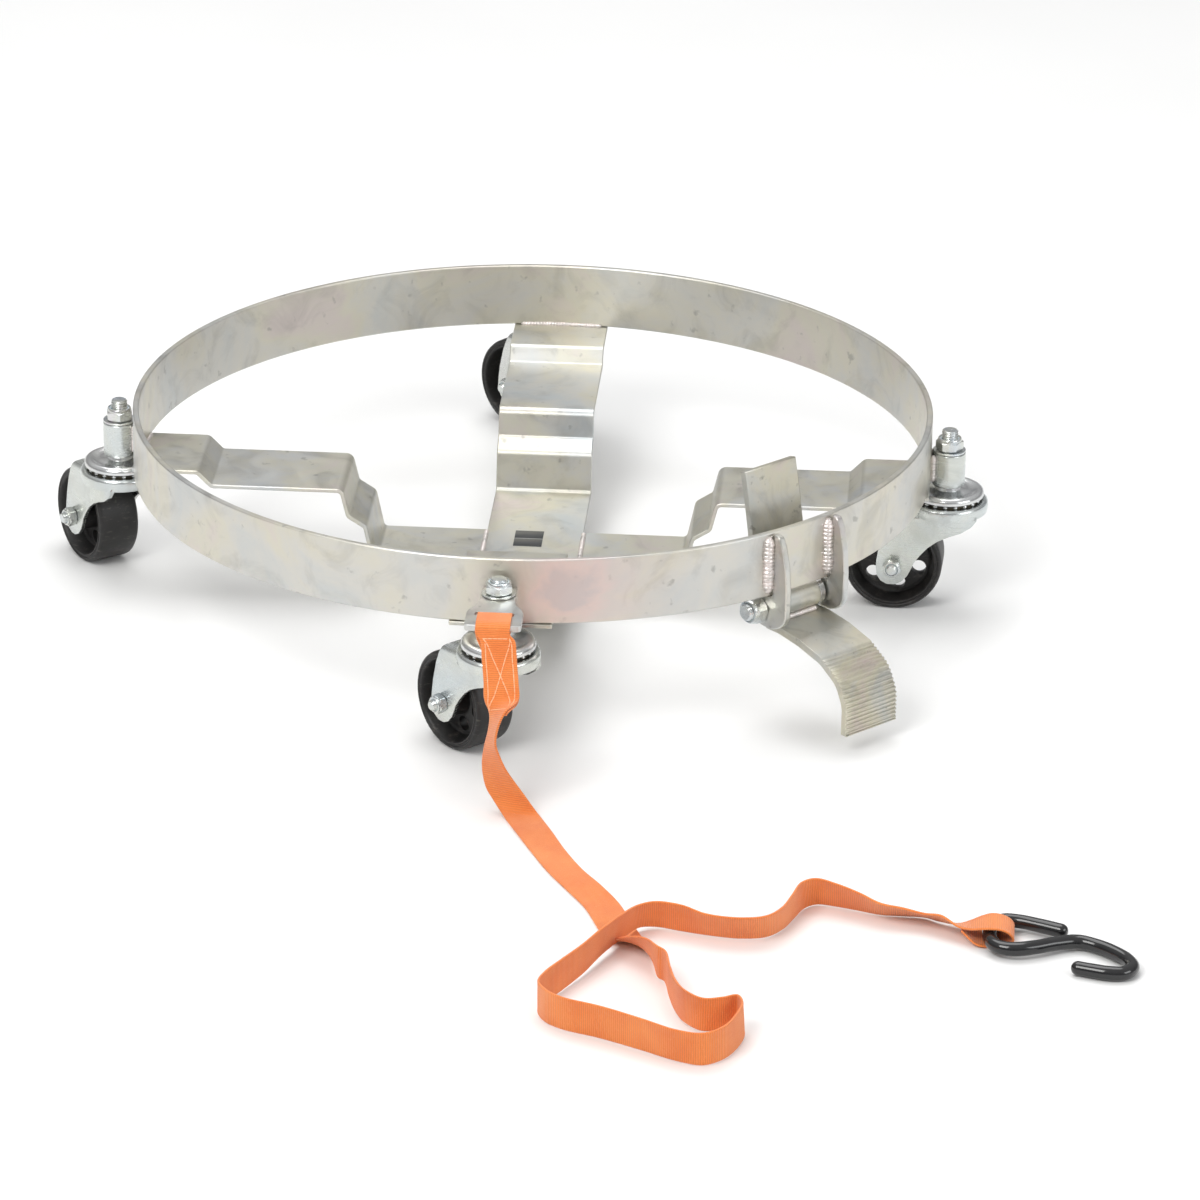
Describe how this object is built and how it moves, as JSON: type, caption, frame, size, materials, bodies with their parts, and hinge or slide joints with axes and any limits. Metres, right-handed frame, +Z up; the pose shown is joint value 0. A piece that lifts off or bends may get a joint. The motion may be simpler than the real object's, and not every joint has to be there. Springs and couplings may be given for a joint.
{
  "type": "drum dolly",
  "caption": "Low round dolly for a steel drum: flat steel ring on stepped cross bars, swivel casters at the bar ends, a hinged foot lever and a webbing strap with an S-hook.",
  "frame": {"origin": "on the floor, on the axis of the ring", "axes": "+Z up; the foot lever points to -Y; the cross bars lie at 45 degrees to X and Y"},
  "size_m": [0.7892, 1.0939, 0.1901],
  "materials": {
    "ring_zinc": "zinc plated, pale yellow and blue bloom",
    "bar_zinc": "zinc plated, rolled",
    "caster_zinc": "bright zinc, pressed",
    "lever_zinc": "zinc plated, satin",
    "fastener_zinc": "bright zinc",
    "bearing_steel": "greased steel",
    "black_plastic": "moulded, scuffed tread",
    "orange_webbing": "woven polyester",
    "black_vinyl": "dipped vinyl, glossy"
  },
  "bodies": {
    "frame": {"ring_band": "ring_zinc", "cross_bar_through": "bar_zinc", "cross_bar_right": "bar_zinc", "cross_bar_left": "bar_zinc", "caster_sleeve_strap_side": "ring_zinc", "stem_strap_side": "caster_zinc", "stem_washer_strap_side": "fastener_zinc", "stem_nut_strap_side": "fastener_zinc", "caster_sleeve_right": "ring_zinc", "stem_right": "caster_zinc", "stem_washer_right": "fastener_zinc", "stem_nut_right": "fastener_zinc", "caster_sleeve_back": "ring_zinc", "stem_back": "caster_zinc", "stem_washer_back": "fastener_zinc", "stem_nut_back": "fastener_zinc", "caster_sleeve_left": "ring_zinc", "stem_left": "caster_zinc", "stem_washer_left": "fastener_zinc", "stem_nut_left": "fastener_zinc", "strap_plate": "ring_zinc", "lever_ear_left": "ring_zinc", "lever_ear_right": "ring_zinc", "pivot_bolt": "fastener_zinc", "pivot_nut": "fastener_zinc", "lever_spacer": "bearing_steel", "strap": "orange_webbing", "s_hook": "black_vinyl"},
    "swivel_strap_side": {"ball_race_strap_side": "bearing_steel", "fork_strap_side": "caster_zinc", "axle_bolt_strap_side": "fastener_zinc", "axle_nut_strap_side": "fastener_zinc", "axle_bush_strap_side": "bearing_steel"},
    "swivel_right": {"ball_race_right": "bearing_steel", "fork_right": "caster_zinc", "axle_bolt_right": "fastener_zinc", "axle_nut_right": "fastener_zinc", "axle_bush_right": "bearing_steel"},
    "swivel_back": {"ball_race_back": "bearing_steel", "fork_back": "caster_zinc", "axle_bolt_back": "fastener_zinc", "axle_nut_back": "fastener_zinc", "axle_bush_back": "bearing_steel"},
    "swivel_left": {"ball_race_left": "bearing_steel", "fork_left": "caster_zinc", "axle_bolt_left": "fastener_zinc", "axle_nut_left": "fastener_zinc", "axle_bush_left": "bearing_steel"},
    "wheel_strap_side": {"wheel_strap_side": "black_plastic"},
    "wheel_right": {"wheel_right": "black_plastic"},
    "wheel_back": {"wheel_back": "black_plastic"},
    "wheel_left": {"wheel_left": "black_plastic"},
    "lever": {"lever_knuckle": "lever_zinc", "lever_pedal": "lever_zinc", "lever_plate": "lever_zinc"}
  },
  "joints": [
    {"name": "swivel_strap_side", "type": "hinge", "parent": "frame", "child": "swivel_strap_side", "pos_m": [-0.22854, -0.22854, 0.085], "axis": [0, 0, 1], "continuous": true},
    {"name": "wheel_spin_strap_side", "type": "hinge", "parent": "swivel_strap_side", "child": "wheel_strap_side", "pos_m": [-0.22672, -0.18858, 0.0381], "axis": [-0.999, 0.0454, 0], "continuous": true},
    {"name": "swivel_right", "type": "hinge", "parent": "frame", "child": "swivel_right", "pos_m": [0.22854, -0.22854, 0.085], "axis": [0, 0, 1], "continuous": true},
    {"name": "wheel_spin_right", "type": "hinge", "parent": "swivel_right", "child": "wheel_right", "pos_m": [0.20177, -0.19881, 0.0381], "axis": [-0.7431, -0.6691, 0], "continuous": true},
    {"name": "swivel_back", "type": "hinge", "parent": "frame", "child": "swivel_back", "pos_m": [0.22854, 0.22854, 0.085], "axis": [0, 0, 1], "continuous": true},
    {"name": "wheel_spin_back", "type": "hinge", "parent": "swivel_back", "child": "wheel_back", "pos_m": [0.22436, 0.26832, 0.0381], "axis": [-0.9945, -0.1045, 0], "continuous": true},
    {"name": "swivel_left", "type": "hinge", "parent": "frame", "child": "swivel_left", "pos_m": [-0.22854, 0.22854, 0.085], "axis": [0, 0, 1], "continuous": true},
    {"name": "wheel_spin_left", "type": "hinge", "parent": "swivel_left", "child": "wheel_left", "pos_m": [-0.22193, 0.26799, 0.0381], "axis": [-0.9863, 0.165, 0], "continuous": true},
    {"name": "lever_pivot", "type": "hinge", "parent": "frame", "child": "lever", "pos_m": [0, -0.297, 0.091], "axis": [-1, 0, 0], "range_deg": [0, 70]}
  ]
}
